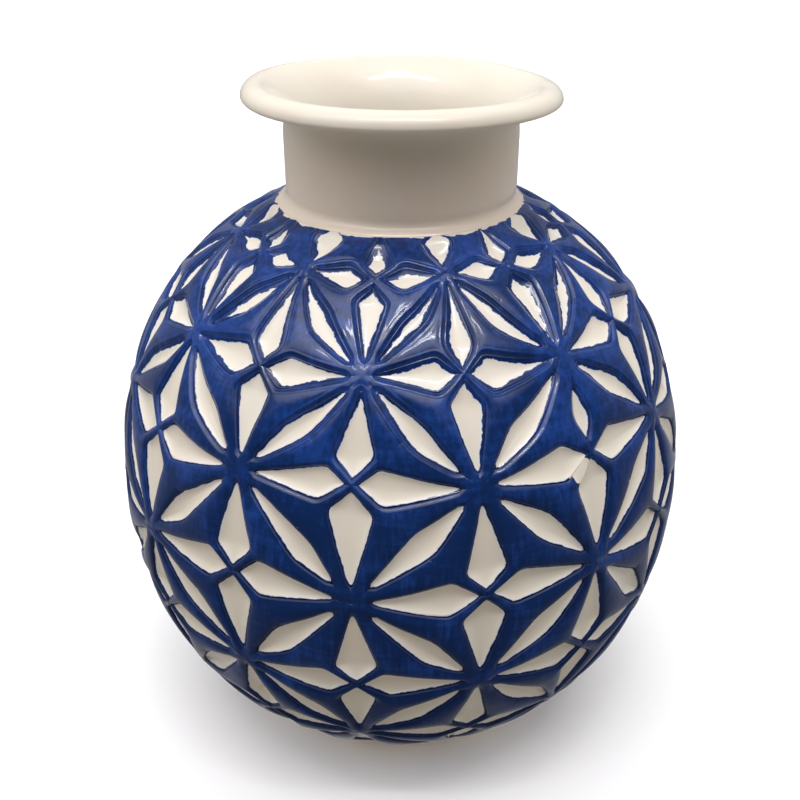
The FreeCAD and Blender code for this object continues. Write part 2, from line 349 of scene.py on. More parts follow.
def corners(first_row, last_row):
    """One entry for each flower corner and crossing corner of each cell between two rows, as arrays.

    A cell is the square between two columns and two rows. Two of its corners are flowers and two are
    crossings, and its leaf joins the flowers. along points from the flower to the crossing, aside to the
    other crossing.
    """
    grids = np.meshgrid(np.arange(first_row, last_row), np.arange(COLUMNS), (0, 1), (0, 1), indexing="ij")
    row, column, lower, sideways = (grid.ravel() for grid in grids)
    leans = (row + column) % 2
    flower_column = column + np.where(leans == 0, lower, 1 - lower)
    flower_row = row + lower
    across = np.where(flower_column == column, 1, -1)
    down = np.where(lower == 0, 1, -1)
    zero = np.zeros_like(across)
    along = np.where(sideways[:, None] == 1, np.stack((across, zero), -1), np.stack((zero, down), -1))
    aside = np.where(sideways[:, None] == 1, np.stack((zero, down), -1), np.stack((across, zero), -1))
    direction = np.where(sideways == 1, np.where(across > 0, EAST, WEST), np.where(down > 0, DOWN, UP))
    side = np.where(sideways == 1, (down > 0), (across > 0)).astype(int)
    crossing_row = flower_row + along[:, 1]
    return {
        "flower": np.stack((flower_column, flower_row), -1), "along": along, "aside": aside,
        "kite": (flower_row, flower_column % COLUMNS, direction, side),
        "leaf": (row, column, (crossing_row > row).astype(int)), "upside": lower,
        "turned": along[:, 0] * aside[:, 1] - along[:, 1] * aside[:, 0],
    }


def at_corner(corner, u, v):
    """Columns and rows of points u along and v aside from each corner's flower."""
    shape = (-1,) + (1,) * (u.ndim - 1)
    place = []
    for axis in (0, 1):
        start, along, aside = (corner[k][:, axis].reshape(shape) for k in ("flower", "along", "aside"))
        place.append(start + along * u + aside * v)
    return place


def eased(count, ends):
    """count + 1 shares from 0 to 1, closer together at the ends: a mix of q and (1 - cos(pi q)) / 2."""
    q = np.linspace(0, 1, count + 1)
    return q * (1 - ends) + ends * (1 - np.cos(math.pi * q)) / 2


def kite_stations(corner, cutting, shoulder):
    """Places along a kite, closer together at its ends and at its shoulder."""
    end = cutting.kite_end[corner["kite"][:3]][:, None]
    start = cutting.kite_start[corner["kite"][:3]][:, None]
    return np.concatenate((start + (shoulder - start) * eased(KITE_NEAR, 0.6),
                           shoulder + (end - shoulder) * eased(KITE_FAR, 0.6)[1:]), 1)


def kite_edge(corner, cutting):
    """u and v of a kite's edge, from its flower end to its crossing end."""
    start = cutting.kite_start[corner["kite"][:3]][:, None]
    end = cutting.kite_end[corner["kite"][:3]][:, None]
    width = cutting.kite_width[corner["kite"]][:, None]
    shoulder = cutting.kite_shoulder[corner["kite"]][:, None]
    x = kite_stations(corner, cutting, shoulder)
    power = cutting.kite_power[corner["kite"][:3]][:, None]
    v = petal_half_width(x, start, shoulder, end, width, setting("pattern").tip_half_width, power)
    return x, np.where(width > 0, v, 0.0)


def kite_middle(corner, cutting):
    """u of a kite's middle line, at the mean of its two edges' places."""
    shoulder = cutting.kite_shoulder[corner["kite"][:3]].mean(-1)[:, None]
    return kite_stations(corner, cutting, shoulder)


def leaf_stations():
    """Places along half a leaf, from a flower's end to its middle."""
    hub = setting("pattern").hub
    return hub + (0.5 - hub) * eased(LEAF_ALONG, 0.25)[None]


def leaf_edge(corner, cutting, x):
    """u and v of a leaf's edge on this corner's side, at x along the leaf from this corner's flower."""
    pattern = setting("pattern")
    width = cutting.leaf_width[corner["leaf"]][:, None]
    turned_over = (corner["upside"] == 1)[:, None]
    middle = cutting.leaf_corner[corner["leaf"]][:, None]
    middle = np.where(turned_over, 1 - middle, middle)
    w = leaf_half_width(x, pattern.hub, middle, width, pattern.tip_half_width)
    w = np.where(width > 0, w, 0.0)
    return x + w, x - w


def distance_to(points, line, chunk=32):
    """Shortest distance from each corner's points to its own polyline, worked out on the segments."""
    result = np.empty(points.shape[:-1])
    for i in range(0, len(points), chunk):
        p = points[i:i + chunk, ..., None, :]
        a = line[i:i + chunk, None, None, :-1]
        step = line[i:i + chunk, None, None, 1:] - a
        share = np.sum((p - a) * step, -1) / np.maximum(np.sum(step * step, -1), 1e-18)
        gap = p - a - np.clip(share, 0, 1)[..., None] * step
        result[i:i + chunk] = np.sqrt(np.sum(gap * gap, -1).min(-1))
    return result


# ---------------------------------------------------------------- meshes

def make_piece(name, points, faces, attributes):
    """A mesh object from arrays. faces has an array of corner indices for each number of corners."""
    mesh = bpy.data.meshes.new(name)
    mesh.from_pydata(points.tolist(), [], [f for group in faces for f in group.tolist()])
    mesh.polygons.foreach_set("use_smooth", np.full(len(mesh.polygons), True))
    for key, values in attributes.items():
        mesh.attributes.new(key, "FLOAT", "POINT").data.foreach_set("value", values.astype(np.float32))
    mesh.update()
    if mesh.validate():
        raise RuntimeError("%s has faulty faces" % name)
    piece = bpy.data.objects.new(name, mesh)
    bpy.context.scene.collection.objects.link(piece)
    return piece


def grid_quads(index, turned):
    """Corner indices of every square of a stack of grids, turned over where turned is below zero."""
    quads = np.stack((index[:, :-1, :-1], index[:, 1:, :-1], index[:, 1:, 1:], index[:, :-1, 1:]), -1)
    return np.where((turned < 0)[:, None, None, None], quads[..., ::-1], quads).reshape(-1, 4)


def split_quads(quads):
    """Quads, and the triangles that are left of quads with two equal neighbouring corners."""
    same = quads == np.roll(quads, -1, 1)
    count = same.sum(1)
    thin = quads[count == 1]
    first = np.argmax(same[count == 1], 1)
    keep = (first[:, None] + np.array((1, 2, 3))) % 4
    return quads[count == 0], np.take_along_axis(thin, keep, 1)


def carved_piece(name, column, row, depth, turned, floor_depth, attributes):
    """A closed piece from a stack of grids of places in the pattern.

    Its top is the grids, its underside joins each grid's two long edges at floor_depth, and its walls stand
    under the top's free edges. Points at one place in the pattern are one vertex, with the least depth and
    attributes.
    """
    key = np.stack((np.rint(column * 1e6) % (COLUMNS * 1e6), np.rint(row * 1e6)), -1).reshape(-1, 2)
    _, first, index = np.unique(key, axis=0, return_index=True, return_inverse=True)
    index = index.reshape(column.shape)
    count = len(first)

    def least(values):
        merged = np.full(count, np.inf)
        np.minimum.at(merged, index.ravel(), values.ravel())
        return merged

    merged = {k: least(v) for k, v in attributes.items()}
    top = on_body(column.ravel()[first], row.ravel()[first], least(depth))
    quads, triangles = split_quads(grid_quads(index, turned))
    rails = np.unique(index[:, :, (0, -1)])
    under = np.zeros(count, int)
    under[rails] = count + np.arange(len(rails))
    bottom = on_body(column.ravel()[first][rails], row.ravel()[first][rails], floor_depth)
    below = under[index[:, :, (-1, 0)]]
    under_quads, under_triangles = split_quads(grid_quads(below, turned))
    edges = np.concatenate([np.stack((group, np.roll(group, -1, 1)), -1).reshape(-1, 2)
                            for group in (quads, triangles)])
    code = edges[:, 0] * count + edges[:, 1]
    free = edges[~np.isin(code, edges[:, 1] * count + edges[:, 0])]
    walls = np.stack((free[:, 1], free[:, 0], under[free[:, 0]], under[free[:, 1]]), -1)
    values = {k: np.concatenate((v, v[rails])) for k, v in merged.items()}
    faces = (quads, triangles, under_quads, under_triangles, walls)
    return make_piece(name, np.concatenate((top, bottom)), faces, values)


def turned_piece(name, outline, around, closed=False):
    """A surface turned about the axis from an outline of (radius, height) rows, a little uneven by hand.

    Its faces point away from the axis where the outline goes up, and towards it where the outline goes down.
    """
    outline = np.concatenate((outline, outline[:1])) if closed else outline
    angle = np.arange(around) * math.tau / around
    r, z = outline[:, None, 0], outline[:, None, 1]
    points = by_hand(np.stack(np.broadcast_arrays(r * np.sin(angle), -r * np.cos(angle), z), -1))
    index = np.arange(points[..., 0].size).reshape(points.shape[:2])
    index = np.where(r < 1e-7, index[:, :1], index)
    index = np.concatenate((index, index[:, :1]), 1)
    index = np.concatenate((index[:-1], index[:1])) if closed else index
    quads, triangles = split_quads(grid_quads(index[None], -np.ones(1)))
    used, renumbered = np.unique(np.concatenate((quads.ravel(), triangles.ravel())), return_inverse=True)
    quads = renumbered[:quads.size].reshape(-1, 4)
    triangles = renumbered[quads.size:].reshape(-1, 3)
    return make_piece(name, points.reshape(-1, 3)[used], (quads, triangles), {})


def by_hand(points):
    """The neck and lip as thrown: a full neck a little off centre, and a lip that leans and waves."""
    body = setting("body")
    x, y, z = points[..., 0], points[..., 1], points[..., 2]
    neck = smooth_step(z, body.seat, body.seat + 0.004)
    angle = np.arctan2(x, -y)
    lip = smooth_step(z, body.lip_top - 0.012, body.lip_top - 0.001)
    share = np.hypot(x, y) / body.lip_radius
    dip_turn, dip_reach, dip_depth = math.radians(125), 0.45, 0.5 * MM
    dip = dip_depth * np.exp(-((angle - dip_turn) / dip_reach) ** 2)
    lean = MM * (0.55 * np.cos(angle) - 0.35 * np.sin(angle) + 0.16 * np.sin(3 * angle + 0.6)) - dip
    fullness, off_centre = 0.014, 0.3 * MM
    out_of_round = 0.004 * np.sin(2 * angle + 0.9) + 0.003 * np.sin(5 * angle) - 0.01
    swell = 1 + fullness * neck * (1 - lip) + lip * out_of_round
    return np.stack((x * swell + off_centre * neck, y * swell, z + lip * share * lean), -1)


def oval_arc(centre, across, up, start, end, count):
    """count + 1 points of an upright ellipse between two directions in degrees."""
    t = np.radians(np.linspace(start, end, count + 1))
    return np.stack((centre[0] + across * np.cos(t), centre[1] + up * np.sin(t)), -1)


def arc(centre, radius, start, end, count):
    """count + 1 points of a circle between two directions in degrees."""
    return oval_arc(centre, radius, radius, start, end, count)


def straight(a, b, count):
    """Points between a and b, without either."""
    share = np.linspace(0, 1, count + 2)[1:-1, None]
    return np.array(a) * (1 - share) + np.array(b) * share


# ---------------------------------------------------------------- shading

class Value:
    """A shader socket that can be written into sums: each operator adds its Math node."""

    def __init__(self, shader, socket):
        self.shader = shader
        self.socket = socket

    def math(self, operation, *others):
        return self.shader.node("ShaderNodeMath", {"operation": operation}, (self,) + others)[0]

    def __add__(self, other):
        return self.math("ADD", other)

    def __sub__(self, other):
        return self.math("SUBTRACT", other)

    def __rsub__(self, other):
        return (self * -1).math("ADD", other)

    def __mul__(self, other):
        return self.math("MULTIPLY", other)

    __radd__, __rmul__ = __add__, __mul__

    def most(self, other):
        return self.math("MAXIMUM", other)

    def step(self, low, high):
        """0 below low and 1 above high, smooth between."""
        settings = {"interpolation_type": "SMOOTHSTEP", "clamp": True}
        return self.shader.node("ShaderNodeMapRange", settings, (self, low, high, 0.0, 1.0))[0]


class Nodes:
    """A node tree, and one way to add any node to it."""

    def __init__(self, tree):
        self.tree = tree

    def node(self, kind, settings, inputs):
        """Adds a node. settings are its own properties, and inputs are values or links by socket."""
        node = self.tree.nodes.new(kind)
        for key, value in settings.items():
            setattr(node, key, value)
        for key, value in (inputs.items() if isinstance(inputs, dict) else enumerate(inputs)):
            if isinstance(value, Value):
                self.tree.links.new(value.socket, node.inputs[key])
            else:
                node.inputs[key].default_value = value
        return [Value(self, s) for s in node.outputs]


class Shader(Nodes):
    """One material with a Principled surface, and short ways to add nodes to it."""

    def __init__(self, name):
        self.material = bpy.data.materials.new(name)
        self.material.use_nodes = True
        super().__init__(self.material.node_tree)
        self.surface = self.tree.nodes["Principled BSDF"]
        self.object = self.node("ShaderNodeTexCoord", {}, {})[3]

    def attribute(self, name):
        """A number stored at the mesh's points."""
        return self.node("ShaderNodeAttribute", {"attribute_name": name}, {})[2]

    def stretched(self, scale):
        """Object coordinates, drawn out along an axis where scale is below 1."""
        return self.node("ShaderNodeMapping", {"vector_type": "POINT"}, {0: self.object, 3: scale})[0]

    def noise(self, scale, detail=3.0, rough=0.5, stretch=None):
        """Noise of 0 to 1, with scale in turns to the metre, on Object coordinates."""
        vector = self.object if stretch is None else self.stretched(stretch)
        return self.node("ShaderNodeTexNoise", {}, {"Vector": vector, "Scale": scale, "Detail": detail,
                                                    "Roughness": rough})[0]

    def mix(self, factor, first, second):
        """A colour between two colours."""
        as_colour = [c if isinstance(c, Value) else (*c, 1.0) for c in (first, second)]
        return self.node("ShaderNodeMix", {"data_type": "RGBA", "clamp_factor": True},
                         {0: factor, 6: as_colour[0], 7: as_colour[1]})[2]

    def position(self):
        """x, y and z in metres."""
        return self.node("ShaderNodeSeparateXYZ", {}, {0: self.object})

    def finish(self, colour, roughness, bumps=(), **constants):
        """Links the colour and roughness, and a chain of (height, strength, distance) bumps."""
        for socket, value in (("Base Color", colour), ("Roughness", roughness)):
            if isinstance(value, Value):
                self.tree.links.new(value.socket, self.surface.inputs[socket])
            else:
                self.surface.inputs[socket].default_value = value
        normal = None
        for height, strength, distance in bumps:
            inputs = {"Height": height, "Strength": strength, "Distance": distance}
            if normal is not None:
                inputs["Normal"] = normal
            normal = self.node("ShaderNodeBump", {}, inputs)[0]
        if normal is not None:
            self.tree.links.new(normal.socket, self.surface.inputs["Normal"])
        for socket, value in constants.items():
            self.surface.inputs[socket.replace("_", " ")].default_value = value
        return self.material


def cobalt_colour(shader, edge_mm, pool):
    """Brushed cobalt: bristle marks both ways, thin light patches, and navy where it pooled along an edge.

    The shoulder was brushed thinner than the belly. pool is how dark the pooled edge is.
    """
    colours = setting("colours")
    drawn_out = 0.12
    down = shader.noise(900.0, 4.0, 0.6, (1.0, 1.0, drawn_out))
    level = shader.noise(800.0, 4.0, 0.6, (drawn_out, drawn_out, 1.0))
    patches = shader.noise(62.0, 3.0, 0.55)
    # painted light: the shoulder gets more of the light cobalt in the thin share below, for the stronger
    # light from above
    shoulder = shader.position()[2].step(0.08, 0.122) * 0.28
    thin = (down * 1.5 + level + patches * 1.9 + shoulder - 2.06).step(0.0, 0.95)
    blue = shader.mix(thin, tuple(colours.cobalt), tuple(colours.cobalt_light))
    # navy along the edge: part pooled cobalt, part painted shade at the carved edges
    pooled = 1 - (edge_mm + (shader.noise(260.0, 2.0) - 0.5) * 0.9).step(0.0, 1.3)
    return shader.mix(pooled * pool, blue, tuple(colours.navy))


def white_colour(shader, thin=0.0):
    """Tin white: slightly yellow where it lies thick and browner where it is thin."""
    colours = setting("colours")
    cloud = shader.noise(60.0, 3.0, 0.5)
    return shader.mix(cloud.step(0.35, 0.8) * 0.35 + thin, tuple(colours.white), tuple(colours.cream))


def glaze_waves(shader):
    """The slow unevenness of a fired glaze, and its finer skin, as (height, strength, distance) bumps."""
    return ((shader.noise(140.0, 2.0, 0.4), GLAZE_WAVES, 0.0012),
            (shader.noise(900.0, 1.0, 0.4), GLAZE_WAVES * 0.15, 0.0002))


def glaze_roughness(shader):
    """A gloss that is a little uneven in patches."""
    return shader.noise(220.0, 3.0) * 0.08 + 0.07


def cobalt_material():
    """Cobalt on the lands: white at the collar, the foot and the slip, and dull where it ends at a petal."""
    shader = Shader("cobalt_glaze")
    x, y, z = shader.position()
    from_petal = shader.attribute("edge_mm")
    # the navy along the petals, part pooled cobalt and part painted shade, is kept 1 mm further off on the
    # upper rows
    edge = from_petal + z.step(0.06, 0.11)
    bead_mm, upper_rows = 0.8, z.step(0.085, 0.115)
    bead = (1 - (from_petal - bead_mm).math("ABSOLUTE").step(0.0, 0.5)) * upper_rows
    body = setting("body")
    radius = (x * x + y * y).math("SQRT")
    ragged = (shader.noise(170.0, 3.0, 0.6) - 0.5) * 0.003
    hem = (body.collar_radius + 0.0003, body.collar_radius + 0.0005)
    collar = (1 - (radius + ragged).step(*hem)) * z.step(0.12, 0.121)
    foot = 1 - (z + ragged).step(0.0062, 0.0064)
    missed = (shader.attribute("slip") * -1 + shader.noise(500.0, 3.0) * 0.2).step(0.4, 0.46)
    bare = collar.most(foot).most(missed)
    colour = shader.mix(bare, cobalt_colour(shader, edge, 0.5), white_colour(shader))
    rough = glaze_roughness(shader) + (1 - from_petal.step(0.1, 0.45)) * 0.45
    return shader.finish(colour, rough, ((bead, 0.5, 0.00016),) + glaze_waves(shader), IOR=GLAZE_IOR)


def petal_material():
    """White glaze in a petal, with a faint blue halo where the cobalt laps raggedly over its edge."""
    shader = Shader("petal_glaze")
    edge = shader.attribute("edge_mm")
    overlap = shader.attribute("overlap_mm")
    ragged = (shader.noise(340.0, 4.0, 0.65) - 0.5) * (overlap * 2.0 + 0.25)
    inside = edge - overlap + ragged
    painted = 1 - inside.step(0.0, 0.14)
    # the pale blue rim: part blue bled into the white, part a painted highlight along the edge
    blue_bleed_and_highlight = (1 - inside.step(0.1, 0.5)) * 0.5
    white = shader.mix(blue_bleed_and_highlight, white_colour(shader), tuple(setting("colours").blue_bleed_and_highlight))
    # the lapped cobalt darkens to navy: part pooled cobalt, part painted shade on the carved edge walls
    colour = shader.mix(painted, white, cobalt_colour(shader, inside * -1 + 0.15, 0.4))
    return shader.finish(colour, glaze_roughness(shader), glaze_waves(shader), IOR=GLAZE_IOR)


def plain_white_material(name):
    """White glaze that is browner on the neck's outside, where it ran thin, than on the lip and inside."""
    shader = Shader(name)
    body = setting("body")
    x, y, z = shader.position()
    outside = (x * x + y * y).math("SQRT").step(body.neck_radius - 0.002, body.neck_radius - 0.001)
    # painted shade: the browner cream past about 25 mm from the axis and below the lip, on the neck's
    # outside and the lining
    thin = outside * (1 - z.step(body.lip_top - 0.0135, body.lip_top - 0.0085)) * 0.6
    rings = shader.noise(260.0, 2.0, 0.5, (0.03, 0.03, 1.0))
    rough = shader.noise(200.0, 3.0) * 0.07 + 0.09
    bumps = glaze_waves(shader) + ((rings, 0.12, 0.0006),)
    return shader.finish(white_colour(shader, thin), rough, bumps, IOR=GLAZE_IOR)


def clay_material():
    """Dull clay with a fine grain that is both its colour and its bumps."""
    shader = Shader("fired_clay")
    grain = shader.noise(1400.0, 5.0, 0.7)
    colours = setting("colours")
    dark = tuple(c * 0.72 for c in colours.clay)
    colour = shader.mix(grain.step(0.3, 0.75), dark, tuple(colours.clay))
    return shader.finish(colour, 0.85, ((grain, 0.5, 0.0003),))


def material(name):
    """A finish by name, made once."""
    made = {"cobalt_glaze": cobalt_material, "petal_glaze": petal_material, "fired_clay": clay_material}
    found = bpy.data.materials.get(name)
    return found or made.get(name, lambda: plain_white_material(name))()


def dress(piece, finish, slot, *nodes):
    """Gives a piece its finish and record slot, and puts it on the frame in place of the CAD nodes."""
    piece.data.materials.append(material(finish))
    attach(piece, "root")
    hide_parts(*nodes)


# ---------------------------------------------------------------- pieces

def land_grid(corner, cutting):
    """u and v of the land beside each corner's kite, and the kite's and leaf's edges as polylines.

    One rail runs from the flower along the kite's edge to the crossing, the other from the flower along the
    leaf's edge to its middle and on to the crossing. The grid's cross lines join them.
    """
    ku, kv = kite_edge(corner, cutting)
    lu, lv = leaf_edge(corner, cutting, leaf_stations())
    ones = np.ones((len(ku), 1))
    hub = np.linspace(0, 1, LAND_HUB + 1)[None, :-1]
    end = np.linspace(0, 1, LAND_END + 1)[None, 1:]
    rail_u = np.concatenate((ku[:, :1] * hub, ku, ku[:, -1:] + (1 - ku[:, -1:]) * end), 1)
    rail_v = np.concatenate((0 * hub * ones, kv, 0 * end * ones), 1)
    near_end = 0.94
    last = np.linspace(0, near_end, KITE_NEAR + KITE_FAR - LEAF_ALONG + 1)[None, 1:]
    last = np.concatenate((last, near_end + 0.06 * end), 1)
    over_u = np.concatenate((lu[:, :1] * hub, lu, lu[:, -1:] * (1 - last) + last), 1)
    over_v = np.concatenate((lv[:, :1] * hub, lv, lv[:, -1:] * (1 - last)), 1)
    share = eased(LAND_ACROSS, 0.85)[None, None]
    u = rail_u[..., None] * (1 - share) + over_u[..., None] * share
    v = rail_v[..., None] * (1 - share) + over_v[..., None] * share
    return u, v, (ku, kv), (lu, lv)


def land_depth(distance, row):
    """Depth of the lands under their highest level, at a distance from the nearest petal.

    edge_depth exp(-d / edge_round), and pillow (1 - d / reach)^2 up to the reach, both fading under the
    collar.
    """
    relief = setting("relief")
    edge = relief.edge_depth * np.exp(-distance / relief.edge_round)
    pillow = relief.pillow * np.clip(1 - distance / relief.pillow_reach, 0, 1) ** 2
    return (edge + pillow) * relief_strength(row)


def slipped(points):
    """1 where the blade slipped through a land, and exp(-(d / reach)^2) at a distance d from there."""
    slip = np.zeros(points.shape[:-1])
    for column, row, reach in SLIPS:
        gap = points - on_body(np.array(column), np.array(row), 0.0)
        slip = np.maximum(slip, np.exp(-np.sum(gap * gap, -1) / reach ** 2))
    return slip


def make_lands(name, first_row, last_row, cutting):
    """The lands between two rows of flowers as one closed piece.

    The distance to the nearest petals is -s ln(sum of exp(-d / s)) over the kite and leaf beside each corner
    and the kite of its partner, which is the other corner at the same crossing in the same cell.
    """
    relief = setting("relief")
    corner = corners(first_row, last_row)
    u, v, kite, leaf = land_grid(corner, cutting)
    column, row = at_corner(corner, u, v)
    points = on_body(column, row, 0.0)
    kite_line = on_body(*at_corner(corner, *kite), 0.0)
    leaf_line = on_body(*at_corner(corner, *leaf), 0.0)
    kite_cut = cutting.kite_width[corner["kite"]] > 0
    leaf_cut = cutting.leaf_width[corner["leaf"]] > 0
    partner = np.arange(len(points)) ^ 3
    near = 0.0
    for line, cut in ((kite_line, kite_cut), (leaf_line, leaf_cut), (kite_line[partner], kite_cut[partner])):
        near = near + np.exp(-distance_to(points, line) / SOFTENING) * cut[:, None, None]
    distance = -SOFTENING * np.log(np.clip(near, 1e-20, 1.0))
    slip = slipped(points)
    flush = smooth_step(slip, 0.05, 0.5)
    depth = land_depth(distance, row) * (1 - flush) + (relief.edge_depth + relief.pillow) * flush
    return carved_piece(name, column, row, depth, -corner["turned"], relief.cut_depth,
                        {"edge_mm": np.minimum(distance / MM, 9.0), "slip": -slip})


def petal_depth(half_width, share, row):
    """Depth in a petal: its edge's depth, and a round-bottomed scoop that is deeper the wider the petal is.

    edge + room (1 - exp(-h / room)) with h = scoop w (1 - (1 - s)^1.7), where w is the half width, s the
    share of the way to the middle line, and room is what is left down to the clay.
    """
    relief = setting("relief")
    edge = relief.edge_depth + relief.pillow
    room = relief.cut_depth - 0.05 * MM - edge
    hollow = relief.scoop * half_width * (1 - (1 - share) ** 1.7)
    return (edge + room * (1 - np.exp(-hollow / room))) * relief_strength(row)


def make_kites(name, corner, cutting):
    """Kite petals as one piece of closed scoops, from the corners on both sides of each."""
    ku, kv = kite_edge(corner, cutting)
    share = eased(KITE_ACROSS, 0.2)[None, None] * np.ones((*ku.shape, 1))
    u = ku[..., None] * (1 - share) + kite_middle(corner, cutting)[..., None] * share
    v = kv[..., None] * (1 - share)
    return scooped_piece(name, corner, u, v, share, (ku, kv), corner["turned"],
                         cutting.kite_overlap[corner["kite"]])


def make_leaves(name, corner, cutting):
    """Leaf petals as one piece of closed scoops, from the four corners round each."""
    x = leaf_stations()
    lu, lv = leaf_edge(corner, cutting, x)
    share = eased(LEAF_ACROSS, 0.2)[None, None] * np.ones((*lu.shape, 1))
    u = lu[..., None] * (1 - share) + x[..., None] * share
    v = lv[..., None] * (1 - share) + x[..., None] * share
    return scooped_piece(name, corner, u, v, share, (lu, lv), -corner["turned"],
                         cutting.leaf_overlap[corner["leaf"]])


def scooped_piece(name, corner, u, v, share, edge, turned, overlap):
    """A petal piece from half-petal grids, with its distance to the edge and how far the blue laps over."""
    relief = setting("relief")
    column, row = at_corner(corner, u, v)
    flat = on_body(column, row, 0.0)
    half_width = np.linalg.norm(flat[..., 0, :] - flat[..., -1, :], axis=-1)[..., None]
    line = on_body(*at_corner(corner, *edge), 0.0)
    edge_mm = distance_to(flat, line) / MM + 4 * smooth_step(slipped(flat), 0.2, 0.5)
    depth = petal_depth(half_width * (1 - 0.7 * slipped(flat)), share, row)
    upper = smooth_step(-row, -3.2, -1.2)
    lap = 0.12 + 0.14 * overlap[:, None, None] + upper * (0.25 + 0.75 * overlap[:, None, None])
    return carved_piece(name, column, row, depth, turned, relief.cut_depth,
                        {"edge_mm": edge_mm, "overlap_mm": lap})


def pick(corner, chosen):
    """The corners for which chosen is true."""
    def part(value):
        return tuple(v[chosen] for v in value) if isinstance(value, tuple) else value[chosen]

    return {k: part(v) for k, v in corner.items()}


class VASE_OT_lands(bpy.types.Operator):
    """Raised cobalt lands, in an upper and a lower piece that meet along a row of flowers"""
    bl_idname = "vase.lands"
    bl_label = "Cobalt lands"

    def execute(self, context):
        cutting = Cutting()
        middle = LAST_ROW // 2
        for half, first, last in (("upper", 0, middle), ("lower", middle, LAST_ROW)):
            piece = make_lands("cobalt_lands_" + half, first, last, cutting)
            dress(piece, "cobalt_glaze", "cobalt", "cobalt_lands")
        return {"FINISHED"}


class VASE_OT_petals(bpy.types.Operator):
    """White scooped petals, one piece for each row's kites and each row's leaves"""
    bl_idname = "vase.petals"
    bl_label = "White petals"

    def execute(self, context):
        cutting = Cutting()
        corner = corners(0, LAST_ROW)
        flower_row, _, direction, _ = corner["kite"]
        leaf_row = corner["leaf"][0]
        for row in range(1, LAST_ROW):
            node = "kite_petals_row_%d" % row
            piece = make_kites(node.replace("petals", "scoops"), pick(corner, flower_row == row), cutting)
            dress(piece, "petal_glaze", "petal_white", node)
        for row in range(1, LAST_ROW - 1):
            node = "leaf_petals_row_%d" % row
            piece = make_leaves(node.replace("petals", "scoops"), pick(corner, leaf_row == row), cutting)
            dress(piece, "petal_glaze", "petal_white", node)
        for node, row, way in (("collar_drops", 0, DOWN), ("foot_drops", LAST_ROW, UP)):
            piece = make_kites(node.replace("drops", "scoops"),
                               pick(corner, (flower_row == row) & (direction == way)), cutting)
            dress(piece, "petal_glaze", "petal_white", node)
        return {"FINISHED"}


def neck_outline():
    """The neck's white coat: hem, hollow at the foot, neck, hollow under the lip, lip, dish and throat."""
    body = setting("body")
    edge_height = body.lip_top - body.lip_slope
    edge_centre = (body.lip_radius - body.lip_edge_radius, edge_height)
    foot_round, lip_round, crest_round, slope = 2.2 * MM, 4.5 * MM, 2.4 * MM, 30
    hem = body.collar_radius + 0.2 * MM
    hem_round = np.array(((hem, body.seat - 0.6 * MM), (hem, body.seat - 0.12 * MM),
                          (hem - 0.15 * MM, body.seat + 0.12 * MM)))
    foot_centre = (body.neck_radius + foot_round, body.seat + 0.45 * MM + foot_round)
    foot = arc(foot_centre, foot_round, -112, -180, 9)
    under_height = edge_height - body.lip_edge_radius - lip_round + 0.2 * MM
    under = arc((body.neck_radius + lip_round, under_height), lip_round, 180, 102, 9)
    edge = arc(edge_centre, body.lip_edge_radius, -75, -5, 9)
    rim = oval_arc((body.crest_radius, edge_height), body.lip_radius - body.crest_radius, body.lip_slope,
                   0, 90, 16)
    crest = arc((body.crest_radius, body.lip_top - crest_round), crest_round, 95, 90 + slope, 6)
    throat = np.array((body.throat_radius, body.lip_top - body.throat_depth))
    downhill = np.array((-math.cos(math.radians(slope)), -math.sin(math.radians(slope))))
    poles = np.array((crest[-1], crest[-1] + 4.5 * MM * downhill, throat + (0.4 * MM, 6.0 * MM), throat))
    t = np.linspace(0, 1, 25)[1:, None]
    dish = ((1 - t) ** 3 * poles[0] + 3 * t * (1 - t) ** 2 * poles[1] + 3 * t ** 2 * (1 - t) * poles[2]
            + t ** 3 * poles[3])
    end = (throat[0], body.seat)
    return np.concatenate((hem_round, foot, straight(foot[-1], under[0], 22), under,
                           straight(under[-1], edge[0], 5), edge, rim, crest, dish,
                           straight(throat, end, 12), [end]))


def lining_outline():
    """Inside of the vase: throat, round under the shoulder, wall and floor to the axis."""
    body = setting("body")
    last_latitude = 66
    r, z = oval(np.radians(np.linspace(last_latitude, -last_latitude, 90)), body.lining_depth)
    top = body.seat - 4.6 * MM
    mouth = arc((body.throat_radius + THROAT_TURN, top + THROAT_TURN), THROAT_TURN, 180, 270, 8)
    wall = np.stack((r, z), -1)[(z < top) & (z > body.floor_height)]
    heel = straight(wall[-1], (wall[-1][0] - 2 * MM, body.floor_height), 1)
    floor = straight((wall[-1][0] - 1.2 * MM, body.floor_height), (0, body.floor_height), 14)
    return np.concatenate(([(body.throat_radius, body.seat)], mouth, straight(mouth[-1], wall[0], 4), wall,
                           heel, floor, [(0, body.floor_height)]))


